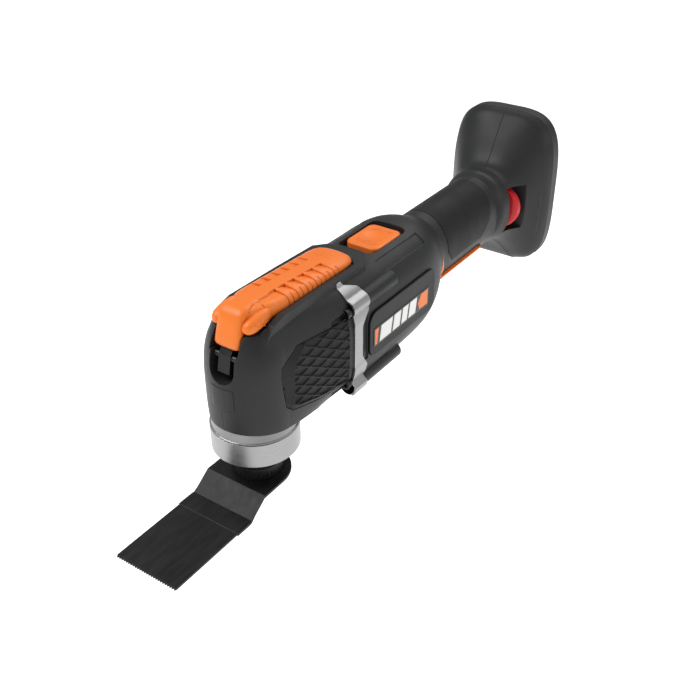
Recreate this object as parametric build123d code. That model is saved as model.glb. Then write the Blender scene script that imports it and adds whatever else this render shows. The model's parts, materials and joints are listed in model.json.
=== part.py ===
from build123d import *

import os
from math import copysign, cos, pi, sin

# Cordless oscillating multi tool, sold without its battery.
# Row frame, millimetres: +Z up, blade towards -Y, battery foot towards +Y.
# Origin: on the spindle axis, at the seat that the accessory is clamped against.

os.makedirs("parts", exist_ok=True)

# ---- driving dimensions ----------------------------------------------------------------------
WALL = 2.5                      # housing wall
AXIS_Z = 53.0                   # motor axis height
GAP = 0.3                       # clearance between bodies that move past each other

HEAD_R = 21.0                   # nose of the head, about the spindle axis
JOINT_Y = 44.0                  # head housing meets motor housing
HANDLE_START, HANDLE_END = 144.0, 205.0
HANDLE_HALF_W, HANDLE_HALF_H, HANDLE_Z = 18.0, 22.0, 54.0
FOOT_END = 252.0                # rear face of the battery foot
TERMINAL_X = (-9, 0, 9)

COLLAR_BOTTOM, COLLAR_TOP, COLLAR_R = 14.3, 27.8, 21.0
NECK_TOP = 36.0
NECK_R = 19.2

BAND_END = 50.2                 # bright trim band runs from JOINT_Y to here
BOSS_X, BOSS_HIGH_Z, BOSS_LOW_Z, BOSS_R = 21.3, 70.6, 30.2, 4.3

LEVER_PIVOT_Y, LEVER_PIVOT_Z = -15.0, 69.5
LEVER_HALF_W = 11.8
LEVER_REAR = 66.5
LEVER_SEAT_Z = 83.2             # underside of the lever when shut
LEVER_ARM_HALF_W = 3.2
LEVER_PIN_R = 1.5
RECESS_HALF_W, HOOK_SLOT_HALF_W = 6.8, 7.8
RECESS_BOTTOM = 58.0

SPINDLE_R, SPINDLE_BORE_R, SPINDLE_TOP = 7.45, 5.2, 56.0
BEARING_BORE_R, BEARING_R, BEARING_W = 7.5, 14.0, 7.0
BEARING_LOW_Z, BEARING_HIGH_Z = 17.0, 34.0
HOLDER_R, HOLDER_H, HOLDER_SERRATIONS = 12.5, 6.0, 36
CAP_R, CAP_BOTTOM, CAP_TOP = 8.6, 60.0, 62.5

BLADE_W, BLADE_T = 35.0, 1.2
BLADE_TIP_Y, BLADE_JOINT_Y = -77.0, -36.8
BLADE_DROP = 7.3
BLADE_BEND_LOW_Y, BLADE_BEND_HIGH_Y = -26.6, -16.3
TOOTH_COUNT, TOOTH_DEPTH = 26, 1.1

ECCENTRICITY = 0.8
FORK_GAP_HALF = 9.3
SHAFT_R, JOURNAL_R = 2.5, 3.0
CAN_R, CAN_START, CAN_END = 19.0, 56.0, 104.0
FAN_BLADES, ARMATURE_SLOTS = 9, 5

SWITCH_HALF_W, SWITCH_START, SWITCH_END, SWITCH_TOP = 9.8, 87.0, 112.0, 80.2
SWITCH_TRAVEL = 6.0
WELL_FLOOR = 76.3

DIAL_R, DIAL_X, DIAL_Z, DIAL_Y, DIAL_T = 13.0, 10.8, 54.5, 219.6, 5.2
DIAL_NOTCHES = 32

PANEL_START, PANEL_END, PANEL_LOW, PANEL_HIGH = 55.6, 116.5, 39.6, 63.8
PANEL_X = 27.0
BADGE_START, BADGE_END, BADGE_LOW, BADGE_HIGH = 58.6, 110.0, 44.6, 55.0

# Cross-sections of the housing along the tool:
# station, half width, top, bottom, height of the widest line, fullness above and below it.
HANDLE_SECTION = (HANDLE_START, HANDLE_HALF_W, 76.0, 32.0, HANDLE_Z, 2.0, 2.0)
STATIONS = [
    (0.0, HEAD_R, 85.0, 5.0, 50.0, 3.0, 3.0),
    (20.0, 23.2, 84.6, 20.0, 52.0, 2.9, 3.4),
    (JOINT_Y, 25.6, 83.0, 24.0, AXIS_Z, 2.8, 3.7),
    (64.0, 26.4, 81.8, 22.8, AXIS_Z, 2.8, 3.7),
    (95.0, 26.5, 81.0, 22.0, AXIS_Z, 2.8, 3.5),
    (112.0, 26.5, 81.2, 22.6, AXIS_Z, 2.8, 3.2),
    (122.0, 25.4, 81.4, 25.0, AXIS_Z, 2.6, 2.9),
    (131.0, 22.6, 79.2, 28.6, 53.5, 2.3, 2.4),
    (138.0, 19.6, 76.8, 31.2, 53.9, 2.05, 2.1),
    HANDLE_SECTION,
]
FOOT_STATIONS = [
    (HANDLE_END, HANDLE_HALF_W, 76.0, 32.0, HANDLE_Z, 2.0, 2.0),
    (208.5, 20.4, 78.2, 32.4, 55.0, 2.0, 2.0),
    (213.0, 20.6, 77.2, 32.2, 55.0, 2.1, 2.1),
    (221.0, 21.6, 77.4, 31.6, 55.5, 2.3, 2.4),
    (228.0, 24.2, 86.0, 27.0, 56.5, 2.6, 2.8),
    (235.0, 28.2, 97.0, 19.5, 57.5, 3.0, 3.2),
    (241.0, 31.8, 104.6, 12.4, 58.2, 3.4, 3.7),
    (245.0, 33.2, 106.4, 10.3, 58.4, 3.7, 4.0),
]
HALF_POINTS = 14
SEAM = 0.06                     # half the gap between the left and right shells


# ---- helpers ---------------------------------------------------------------------------------
def box(x0, x1, y0, y1, z0, z1):
    return Pos((x0 + x1) / 2, (y0 + y1) / 2, (z0 + z1) / 2) * Box(x1 - x0, y1 - y0, z1 - z0)


def rod_z(r, z0, z1, x=0.0, y=0.0):
    return Pos(x, y, (z0 + z1) / 2) * Cylinder(r, z1 - z0)


def rod_y(r, y0, y1, x=0.0, z=AXIS_Z):
    return Pos(x, (y0 + y1) / 2, z) * Rot(X=90) * Cylinder(r, y1 - y0)


def rod_x(r, x0, x1, y, z):
    return Pos((x0 + x1) / 2, y, z) * Rot(Y=90) * Cylinder(r, x1 - x0)


def tube_z(r_out, r_in, z0, z1):
    return rod_z(r_out, z0, z1) - rod_z(r_in, z0 - 1, z1 + 1)


def tube_y(r_out, r_in, y0, y1, x=0.0, z=AXIS_Z):
    return rod_y(r_out, y0, y1, x, z) - rod_y(r_in, y0 - 1, y1 + 1, x, z)


def side_prism(points, x0, x1):
    """Outline of (y, z) points, carried from x0 to x1."""
    face = Plane.YZ * make_face(Polyline(*points, close=True))
    return Pos(x0, 0, 0) * extrude(face, x1 - x0)


def plan_prism(points, z0, z1):
    """Outline of (x, y) points, carried from z0 to z1."""
    return Pos(0, 0, z0) * extrude(make_face(Polyline(*points, close=True)), z1 - z0)


def cross_prism(points, y0, y1):
    """Outline of (x, z) points, carried from y0 to y1."""
    plane = Plane(origin=(0, y1, 0), x_dir=(1, 0, 0), z_dir=(0, -1, 0))
    return extrude(plane * make_face(Polyline(*points, close=True)), y1 - y0)


def mirrored(points):
    """Right-hand half outline, bottom to top, closed with its mirror image."""
    return points + [(-x, v) for x, v in reversed(points)]


def rounded_plate(y0, y1, z0, z1, radius, x0, x1):
    """Plate in the side plane with rounded corners, from x0 to x1."""
    plane = Plane(origin=(x0, (y0 + y1) / 2, (z0 + z1) / 2), x_dir=(0, 1, 0), z_dir=(1, 0, 0))
    return extrude(plane * RectangleRounded(y1 - y0, z1 - z0, radius), x1 - x0)


def mirror_x(shape):
    return mirror(shape, about=Plane.YZ)


def both_sides(shape):
    return shape + mirror_x(shape)


def solids_of(shape):
    return Compound(children=list(shape.solids()))


def write(name, shape):
    shape.label = name
    export_step(shape, f"parts/{name}.step")


# ---- housing skin ----------------------------------------------------------------------------
def half_section(station, inset=0.0):
    """Right-hand half of a cross-section, pulled in by inset and closed along x = 0."""
    y, half_width, top, bottom, mid, full_top, full_bottom = station
    points = []
    for i in range(HALF_POINTS + 1):
        angle = pi / 2 - pi * i / HALF_POINTS
        c, s = cos(angle), sin(angle)
        power = full_top if s >= 0 else full_bottom
        reach = (top - mid if s >= 0 else mid - bottom) - inset
        x = max(c, 0.0) ** (2 / power) * (half_width - inset)
        points.append((x, mid + copysign(abs(s) ** (2 / power), s) * reach))
    points[0], points[-1] = (0, points[0][1]), (0, points[-1][1])
    outline = Spline(*points, tangents=[(1, 0), (-1, 0)]) + Line(points[-1], points[0])
    plane = Plane(origin=(0, y, 0), x_dir=(1, 0, 0), z_dir=(0, -1, 0))
    return plane * make_face(outline)


def between(stations, y):
    """Station at y: every value eased between its neighbours without overshoot."""
    ys = [s[0] for s in stations]
    k = max(i for i in range(len(ys) - 1) if ys[i] <= y + 1e-9)
    values = []
    for column in range(1, len(stations[0])):
        v = [s[column] for s in stations]
        slopes = [(v[i + 1] - v[i]) / (ys[i + 1] - ys[i]) for i in range(len(ys) - 1)]
        m = [slopes[0]]
        for a, b in zip(slopes, slopes[1:]):
            m.append(2 * a * b / (a + b) if a * b > 0 else 0.0)
        m.append(slopes[-1])
        h = ys[k + 1] - ys[k]
        t = (y - ys[k]) / h
        values.append(v[k] * (1 + 2 * t) * (1 - t) ** 2 + m[k] * h * t * (1 - t) ** 2
                      + v[k + 1] * t * t * (3 - 2 * t) + m[k + 1] * h * t * t * (t - 1))
    return (y, *values)


def station_at(stations, y):
    inside = min(max(y, stations[0][0]), stations[-1][0])
    return (y, *between(stations, inside)[1:])


def half_loft(stations, y0, y1, steps, inset=0.0):
    """Right half of a stretch of the tool, lofted through evenly spaced sections."""
    ys = [y0 + (y1 - y0) * i / steps for i in range(steps + 1)]
    return loft([half_section(station_at(stations, y), inset) for y in ys])


def half_head(inset=0.0, y1=JOINT_Y):
    """Right half of the solid head: turned nose, then the flared part behind the spindle."""
    nose = revolve(half_section(STATIONS[0], inset), axis=Axis.Z, revolution_arc=-90)
    return nose + half_loft(STATIONS, 0, y1, 4, inset)


def half_body(inset=0.0):
    """Right half of the solid motor housing, handle and battery foot."""
    barrel = half_loft(STATIONS, JOINT_Y, HANDLE_START, 8, inset)
    handle = extrude(half_section(HANDLE_SECTION, inset), HANDLE_END - HANDLE_START, dir=(0, 1, 0))
    foot = half_loft(FOOT_STATIONS, HANDLE_END, FOOT_STATIONS[-1][0], 8, inset)
    rim = extrude(half_section(FOOT_STATIONS[-1], inset), FOOT_END - FOOT_STATIONS[-1][0], dir=(0, 1, 0))
    return barrel + [handle, foot, rim]


# ---- regions shared by several pieces --------------------------------------------------------
def lever_recess():
    """Slot in the nose that the lever's hook and cam arm swing through."""
    low = box(-RECESS_HALF_W, RECESS_HALF_W, -26, -6, RECESS_BOTTOM + RECESS_HALF_W, 75)
    low += Pos(0, -16, RECESS_BOTTOM + RECESS_HALF_W) * Rot(X=90) * Cylinder(RECESS_HALF_W, 20)
    return low + box(-HOOK_SLOT_HALF_W, HOOK_SLOT_HALF_W, -26, -6, 72, 95)


def lever_channel():
    """Trough in the top of the housing that the shut lever lies in, with scoops for the fingers."""
    half = 12.4
    end = LEVER_REAR + 0.9
    plan = [(half, -14), (half, end - 4.4), (half - 4.4, end)]
    return plan_prism(mirrored(plan), 82.4, 95) + box(-half, half, -20, 5.4, 80.4, 95)


def switch_well():
    y0, y1 = SWITCH_START - SWITCH_TRAVEL - 0.6, SWITCH_END + 2.6
    outline = Pos(0, (y0 + y1) / 2) * RectangleRounded(2 * SWITCH_HALF_W + 1.4, y1 - y0, 4.0)
    return Pos(0, 0, WELL_FLOOR) * extrude(outline, 12) + box(-3, 3, 90.6, 101.4, 70, 80)


def panel_blank(x0, x1, margin=0.0):
    return rounded_plate(PANEL_START - margin, PANEL_END + margin, PANEL_LOW - margin,
                         PANEL_HIGH + margin, 5.5 + margin, x0, x1)


def badge_blank(x0, x1, margin=0.0):
    return rounded_plate(BADGE_START - margin, BADGE_END + margin, BADGE_LOW - margin,
                         BADGE_HIGH + margin, 0.8, x0, x1)


def pad_outline(grow=0.0):
    """Side grip pad outline, (y, z), stepped out by grow."""
    points = [(-4.1, 58.1), (-2.2, 43.5), (2.3, 39.5), (19.6, 35.5), (40.4, 33.6), (40.4, 68.0),
              (7.7, 70.3), (-3.4, 64.2)]
    return [(y + copysign(grow, y - 20), z + copysign(grow, z - 52)) for y, z in points]


def grip_region(margin=0.0):
    """Side view of the over-moulded handle grip."""
    points = [(147.0 - margin, 90), (147.0 - margin, 56), (152 - margin, 49.5 - margin),
              (186, 49.5 - margin), (195 + margin, 57), (199 + margin, 66), (199 + margin, 90)]
    return side_prism(points, -1, 30)


def underside_region(margin=0.0):
    """Side view of the coloured trim under the handle."""
    points = [(HANDLE_START - margin, 20), (HANDLE_START - margin, 43.2 + margin),
              (186, 43.2 + margin), (190 + margin, 40.5), (191 + margin, 36), (191 + margin, 20)]
    return side_prism(points, -1, 30)


def handle_cover(region, inset, proud):
    """Right half of the handle's outer layer inside a region."""
    length = HANDLE_END - HANDLE_START + 8
    layer = extrude(half_section(HANDLE_SECTION, -proud), length, dir=(0, 1, 0))
    layer -= extrude(half_section(HANDLE_SECTION, inset), length, dir=(0, 1, 0))
    return layer & region


def screw_axes():
    """(x, z) of the long screws that join head and motor housing, right-hand side."""
    return [(BOSS_X + 1.4, BOSS_HIGH_Z - 0.4), (BOSS_X + 1.4, BOSS_LOW_Z + 1)]


def band_blank(grow=0.0):
    """Right-hand bright band round the housing joint, with a lobe over each screw boss."""
    y1 = BAND_END + grow
    ring = half_loft(STATIONS, JOINT_Y, y1, 2, -0.7) & box(14.2 - grow, 40, 40, 56, 26 - grow, 79.5 + grow)
    lobes = [rod_y(BOSS_R + 0.5 + grow, JOINT_Y, y1 + 3.6, BOSS_X, BOSS_HIGH_Z),
             rod_y(BOSS_R + 0.5 + grow, JOINT_Y, y1 + 3.6, BOSS_X + 0.6, BOSS_LOW_Z - 1.4)]
    return (ring + lobes) - half_loft(STATIONS, JOINT_Y - 1, y1 + 5, 2, 0.9 + grow)


def top_block(y0, y1):
    """Raised rails either side of the lever and the rounded stop behind it."""
    plan = [(15.6, -9), (15.6, 68), (11, 75)]
    side = [(-10, 74), (-2, 83.0), (6, 84.9), (40, 84.4), (68, 83.6), (76, 83.0), (76, 74)]
    return plan_prism(mirrored(plan), 70, 92) & side_prism(side, 0, 20) & box(0, 20, y0, y1, 60, 95)


# ---- housing shells --------------------------------------------------------------------------
def cut_all(shape, tools):
    for tool in tools:
        shape -= tool
    return shape & box(SEAM, 60, -60, 300, -20, 130)


def rib(y0, y1, z1=85):
    """Cross wall with a seat for the motor and a gap at the top for the switch link."""
    return box(-1, 30, y0, y1, 20, z1) - rod_y(CAN_R + 0.6, 30, 105) - box(-2, 6, y0 - 1, y1 + 1, 60, 90)


def head_shell():
    """Right-hand shell of the head."""
    floor_plate = side_prism([(-22, 20), (-22, 35.8), (24, 30.5), (24, 20)], -1, 30)
    void = half_head(WALL)
    for fitting in (rib(41, 42.6), box(-1, 10.2, -21, -6, 57, 82), floor_plate):
        void -= fitting
    shell = half_head() + top_block(-20, JOINT_Y) - void
    under_head = side_prism([(-40, -10), (-40, 35.2), (23, 27.9), (23, -10)], -40, 40)
    pad_seat = side_prism(pad_outline(0.25), 12, 40) - half_head(1.35)
    cuts = [
        lever_recess(),
        lever_channel(),
        rod_z(CAP_R + 0.6, 56, 80),
        under_head,
        rod_z(NECK_R + GAP, 10, NECK_TOP + GAP),
        Pos(0, 0, 29.9) * Cone(21.0, NECK_R + GAP, 4.6),
        rod_x(LEVER_PIN_R + 0.02, -9.6, 9.6, LEVER_PIVOT_Y, LEVER_PIVOT_Z),
        box(-7.1, 7.1, -26, -20.15, 44.9, 56.1),
        pad_seat,
    ]
    for x, z in screw_axes():
        cuts += [rod_y(2.7, JOINT_Y - 4.0, JOINT_Y + 1, x, z), rod_y(1.55, 30, JOINT_Y, x, z)]
    return cut_all(shell, cuts)


def body_shell():
    """Right-hand shell of the motor housing, handle and foot, without the speed dial's window."""
    void = half_body(WALL)
    for fitting in (rib(JOINT_Y + 0.8, JOINT_Y + 2.4), rib(60, 62), rib(84, 86, 73),
                    box(-1, 13, 78, 118, 74.4, 90)):
        void -= fitting
    outer = half_body() + top_block(JOINT_Y, 90)
    outer += rod_y(BOSS_R, JOINT_Y, 82, BOSS_X, BOSS_HIGH_Z)
    outer += rod_y(BOSS_R, JOINT_Y, 86, BOSS_X + 0.6, BOSS_LOW_Z - 2.4)
    shoulder_plate = Pos(17.4, 97.5, 77.4) * Rot(Y=42) * Box(7.0, 38, 6.0)
    cuts = [
        lever_channel(),
        switch_well(),
        panel_blank(25.6, 40, 0.25),
        box(25.2, 40, BAND_END, PANEL_START, 40, 65),
        band_blank(0.1),
        handle_cover(grip_region(0.15), 1.3, 1),
        handle_cover(underside_region(0.1), 1.1, 1),
        box(-30, 30, 244.2, 260, 0, 18),
        shoulder_plate - half_loft(STATIONS, 76, 119, 2, 0.35),
    ]
    cuts += [rod_y(1.55, 40, 76, x, z) for x, z in screw_axes()]
    return cut_all(outer - void, cuts)


def with_dial_window(shell):
    """Adds the walled pocket that the speed dial turns in, right-hand side only."""
    pocket = box(13.4, 36, 214.4, 230.6, 38.5, 70.5) & half_loft(FOOT_STATIONS, 210, 236, 4, 0.4)
    shell += pocket
    for tool in (box(15.2, 40, 216, 229, 40.5, 68.5),
                 box(-4, 40, DIAL_Y - GAP, DIAL_Y + DIAL_T + GAP, 40.5, 68.5),
                 rod_y(2.6, 213, 231, DIAL_X, DIAL_Z)):
        shell -= tool
    return shell


def build_housings():
    head = head_shell()
    write("head_housing_right", head)
    write("head_housing_left", mirror_x(head))
    body = body_shell()
    write("body_housing_left", mirror_x(body))
    write("body_housing_right", with_dial_window(body))


# ---- outer pieces ----------------------------------------------------------------------------
def build_side_trim():
    band = band_blank() & box(0, 60, JOINT_Y, 80, -20, 130)
    for x, z in screw_axes():
        band -= rod_y(1.6, 40, 60, x, z)
    pad = side_prism(pad_outline(), 12, 40) & (half_head(-0.9) - half_head(1.2))
    panel = panel_blank(25.7, PANEL_X) - badge_blank(PANEL_X - 0.6, 40, 0.1)
    grip = handle_cover(grip_region(), 1.2, 0.2) & box(SEAM, 60, 0, 300, -20, 130)
    pieces = {
        "trim_band": band,
        "grip_pad": pad & box(12, 40, -8, JOINT_Y - 0.5, 20, 80),
        "side_panel": panel,
        "badge": badge_blank(PANEL_X - 0.6, PANEL_X + 0.15),
        "handle_grip": grip,
    }
    for name, piece in pieces.items():
        write(f"{name}_right", piece)
        write(f"{name}_left", mirror_x(piece))
    trim = handle_cover(underside_region(), 0.95, 0.5)
    write("handle_underside_trim", trim + mirror_x(trim))
    write("nose_inset_plate", box(-7, 7, -22, -20.15, 45, 56) & rod_z(HEAD_R + 0.1, 40, 60))


def build_screws():
    screws = []
    for x, z in screw_axes():
        screw = rod_y(2.5, 40.6, 43.2, x, z) + rod_y(1.5, 43.2, 74, x, z) - rod_y(1.2, 40.0, 41.8, x, z)
        screws += [screw, mirror_x(screw)]
    write("head_screws", Compound(children=screws))


# ---- clamp lever -----------------------------------------------------------------------------
def lever_profile(shrink=0.0):
    half = [(10.2, 80.9), (11.6, 83.5), (LEVER_HALF_W, 87.0), (9.8, 89.7), (5.0, 91.6)]
    return [(max(x - shrink, 0.5), z - (shrink if z > 88 else 0)) for x, z in half]


def build_lever():
    side = [(-12.2, 84), (-10.4, 91), (12, 90.5), (48, 88.8), (60, 87.6), (LEVER_REAR, 85.8),
            (LEVER_REAR, LEVER_SEAT_Z), (4.5, LEVER_SEAT_Z), (1.5, 81.2), (-9.5, 81.2), (-11.4, 82.5)]
    plan = [(5.9, -12.6), (8.6, -12.0), (10.8, -9.5), (11.6, -3), (LEVER_HALF_W, 6), (LEVER_HALF_W, 54),
            (11.0, 63), (8.4, LEVER_REAR)]
    body = side_prism(side, -13, 13)
    body &= cross_prism(mirrored(lever_profile()), -20, 80)
    body &= plan_prism(mirrored(plan), 70, 100)
    core = cross_prism(mirrored(lever_profile(0.8)), -20, 80)
    top_z = 90.4
    for i in range(6):
        y = 14.1 + 6.82 * i
        ridge = top_z - 0.046 * max(y - 12, 0)
        pocket = side_prism([(y - 3.4, ridge + 0.4), (y, ridge - 1.7), (y, ridge + 3)], 3.3, 7.4)
        slits = box(7.0, 14, y - 0.3, y + 0.3, 83, 95) + box(9.4, 14, y + 3.1, y + 3.6, 83, 95)
        body -= both_sides(pocket + (slits - core))
    body -= both_sides(box(7.0, 14, 0.6, 1.1, 86, 95) - core)
    for x in (-1.3, 1.3):
        body -= box(x - 0.25, x + 0.25, 53, 61, 87.2, 95) - side_prism(
            [(50, 80), (50, 88.2), (62, 86.9), (62, 80)], -2, 2)
    hook_side = [(-15.9, 73.5), (-10.4, 91), (-6, 91), (-8.6, 81.2), (-12.2, 73.5)]
    hook_front = [(4.75, 73.4), (7.25, 77), (6.7, 84), (5.9, 91.4)]
    body += side_prism(hook_side, -8, 8) & cross_prism(mirrored(hook_front), -20, 0)
    body -= box(-9.4, 9.4, 6, 61, 80, 85.6)
    arm = side_prism([(-18.3, 62.8), (-17.2, 61.5), (-14.2, 61.5), (-11.4, 65.5), (-11.0, 72),
                      (-10.8, 80), (-12.6, 80), (-14.8, 73.4), (-16.6, 71)],
                     -LEVER_ARM_HALF_W, LEVER_ARM_HALF_W)
    arm -= rod_x(LEVER_PIN_R + 0.05, -10, 10, LEVER_PIVOT_Y, LEVER_PIVOT_Z)
    write("clamp_lever", body - arm)
    write("lever_cam_arm", arm)
    write("lever_pin", rod_x(LEVER_PIN_R, -9.5, 9.5, LEVER_PIVOT_Y, LEVER_PIVOT_Z))


# ---- spindle group ---------------------------------------------------------------------------
def build_gear_case():
    case = rod_z(COLLAR_R, COLLAR_BOTTOM, COLLAR_TOP)
    neck = Pos(0, 0, (COLLAR_TOP + 32) / 2) * Cone(20.5, NECK_R, 32 - COLLAR_TOP)
    case += neck + rod_z(NECK_R, 32, NECK_TOP) + rod_z(17.0, NECK_TOP, 42)
    case -= tube_z(COLLAR_R + 1, COLLAR_R - 0.7, COLLAR_TOP - 0.9, COLLAR_TOP - 0.3)
    case -= rod_z(BEARING_R, 14, BEARING_LOW_Z + BEARING_W) + rod_z(12.2, 20, 36)
    case -= rod_z(BEARING_R, BEARING_HIGH_Z, 43)
    write("gear_case", chamfer(case.edges().filter_by(GeomType.CIRCLE).group_by(Axis.Z)[0].sort_by(
        lambda e: -e.length)[0], 0.6))
    for name, z in (("spindle_bearing_lower", BEARING_LOW_Z), ("spindle_bearing_upper", BEARING_HIGH_Z)):
        ring = tube_z(BEARING_R - 0.03, BEARING_BORE_R, z, z + BEARING_W)
        for face_z in (z - 0.1, z + BEARING_W - 0.4):
            ring -= tube_z(12.0, 9.4, face_z, face_z + 0.5)
        write(name, ring)
    write("spindle_dust_seal", tube_z(BEARING_R - 0.03, 10.6, 14.6, 16.6))


def build_spindle():
    spindle = rod_z(SPINDLE_R, 3.0, SPINDLE_TOP)
    spindle -= rod_z(SPINDLE_BORE_R, 0, 26) + rod_z(3.05, 20, 40) + rod_z(SPINDLE_BORE_R, 38, 60)
    write("spindle", spindle)

    holder = rod_z(HOLDER_R, 0, HOLDER_H) + rod_z(10.0, HOLDER_H, 13.4)
    holder += Pos(0, 0, HOLDER_H + 0.8) * Cone(HOLDER_R - 0.6, 10.0, 1.6)
    for i in range(HOLDER_SERRATIONS):
        holder -= Rot(Z=360 / HOLDER_SERRATIONS * i) * rod_z(0.5, -1, 3.6, HOLDER_R + 0.1)
    holder -= rod_z(SPINDLE_R + 0.02, 3.0, 20) + rod_z(SPINDLE_BORE_R, -1, 5)
    for i in range(4):
        holder += Rot(Z=45 + 90 * i) * rod_z(1.3, -1.0, 0.5, 9.0)
    write("tool_holder", holder)

    fork = rod_z(12.0, 46.5, SPINDLE_TOP + 0.5) + box(-13.2, 13.2, 4, 32.6, 48.5, SPINDLE_TOP + 0.5)
    fork -= box(-FORK_GAP_HALF, FORK_GAP_HALF, 16, 40, 40, 60)
    fork -= rod_z(SPINDLE_R + 0.02, 40, 60)
    write("oscillation_fork", fork)

    jaws = tube_z(5.1, 3.1, 12, 24.4) - box(-0.5, 0.5, -6, 6, 10, 26)
    write("clamp_jaws", solids_of(jaws))

    rod = rod_z(2.75, 25.2, 57.5) + rod_z(4.9, 57.5, CAP_BOTTOM) + rod_z(CAP_R, CAP_BOTTOM, CAP_TOP)
    write("clamp_rod", rod)
    path = Pos(0, 0, 39.0) * Helix(pitch=2.6, height=17.4, radius=4.0)
    wire = sweep(Plane(path @ 0, z_dir=path % 0) * Circle(0.6), path=path, is_frenet=True)
    write("clamp_spring", wire)


def build_accessory():
    bolt = rod_z(3.05, -1.2, 22.3) + rod_z(4.8, -1.2, 2.4)
    bolt += rod_z(9.0, -3.2, -1.2) + Pos(0, 0, -3.9) * Cone(6.6, 9.0, 1.4)
    bolt -= Pos(0, 0, -4.4) * extrude(RegularPolygon(2.5, 6), 1.6)
    write("flange_bolt", bolt)

    outline = [(17.5, -1.2), (17.5, -24), (18.0, -28.4), (18.0, BLADE_JOINT_Y)]
    plan = plan_prism([(x, y) for x, y in outline] + [(-x, y) for x, y in reversed(outline)], -20, 5)
    plan += rod_z(17.5, -20, 5, 0, -2.4)
    top = [(20, 0), (BLADE_BEND_HIGH_Y, 0), (BLADE_BEND_LOW_Y, -BLADE_DROP), (BLADE_JOINT_Y, -BLADE_DROP)]
    under = [(y - 0.35, z - BLADE_T) for y, z in reversed(top)]
    under[0] = (BLADE_JOINT_Y, -BLADE_DROP - BLADE_T)
    shank = side_prism(top + under, -20, 20) & plan
    shank -= rod_z(5.0, -5, 5)
    for i in range(4):
        shank -= Rot(Z=45 + 90 * i) * rod_z(1.6, -5, 5, 9.0)
    write("blade_shank", shank)

    pitch = BLADE_W / TOOTH_COUNT
    half = BLADE_W / 2
    edge = [(half, BLADE_JOINT_Y), (half, BLADE_TIP_Y + TOOTH_DEPTH)]
    for i in range(TOOTH_COUNT):
        x = half - pitch * i
        edge += [(x - pitch / 2, BLADE_TIP_Y), (x - pitch, BLADE_TIP_Y + TOOTH_DEPTH)]
    edge.append((-half, BLADE_JOINT_Y))
    write("blade_tooth_strip", plan_prism(edge, -BLADE_DROP - 1.0, -BLADE_DROP))


# ---- motor -----------------------------------------------------------------------------------
def build_motor():
    offset_z = AXIS_Z + ECCENTRICITY
    shaft = rod_y(JOURNAL_R, 24.5, 33.5, 0, offset_z) + rod_y(SHAFT_R, 33.0, 113)
    write("rotor_shaft", shaft)
    write("eccentric_bearing", tube_y(7.5, JOURNAL_R + 0.02, 25.5, 30.5, 0, offset_z))
    weight = (rod_y(11, 34, 38.5) & box(-12, 12, 30, 40, 30, AXIS_Z - 1)) + rod_y(5, 34, 38.5)
    write("counterweight", weight - rod_y(SHAFT_R + 0.02, 30, 40))

    fan = rod_y(4.2, 47.6, 54.4) + rod_y(17.5, 53.4, 54.4)
    for i in range(FAN_BLADES):
        fan += Pos(0, 0, AXIS_Z) * Rot(Y=360 / FAN_BLADES * i) * box(3.5, 17.2, 47.6, 53.6, -0.6, 0.6)
    write("cooling_fan", fan - rod_y(SHAFT_R + 0.02, 40, 60))

    plate = rod_y(19.5, 40.4, 46.6) - rod_y(8.03, 41.0, 47) - rod_y(3.4, 40, 47)
    write("motor_mount_plate", plate)
    write("motor_bearing_front", tube_y(8.0, SHAFT_R + 0.05, 41.0, 46.0))
    write("motor_bearing_rear", tube_y(8.0, SHAFT_R + 0.05, 107.6, 112.0))

    can = tube_y(CAN_R, 17.8, CAN_START, CAN_END) + tube_y(CAN_R, 8.0, CAN_START, CAN_START + 1.4)
    write("motor_can", can)
    magnets = tube_y(17.7, 14.4, 60, 98) & both_sides(box(6, 20, 50, 100, 30, 80))
    write("motor_magnets", solids_of(magnets))
    core = tube_y(13.6, SHAFT_R + 0.02, 63, 95)
    for i in range(ARMATURE_SLOTS):
        core -= Pos(0, 0, AXIS_Z) * Rot(Y=360 / ARMATURE_SLOTS * i) * box(-1.2, 1.2, 60, 100, 9.0, 15)
    write("armature_core", core)
    write("armature_windings", Compound(children=[tube_y(11.6, 3.4, 59.4, 63), tube_y(11.6, 3.4, 95, 98.6)]))
    write("commutator", tube_y(6.0, SHAFT_R + 0.02, 99.4, 105.4))
    cap = rod_y(CAN_R, CAN_END, 112) - rod_y(17.0, CAN_END - 1, 106.6)
    cap -= rod_y(8.03, 107.6, 113) + rod_y(3.4, 100, 113)
    holders = both_sides(box(8.6, 16.9, 99.6, 106.7, 49.4, 56.6))
    brush = box(6.4, 14.6, 100.6, 104.6, 50.6, 55.4)
    write("motor_end_cap", cap + (holders - both_sides(brush)))
    write("carbon_brushes", Compound(children=[brush, mirror_x(brush)]))


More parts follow.
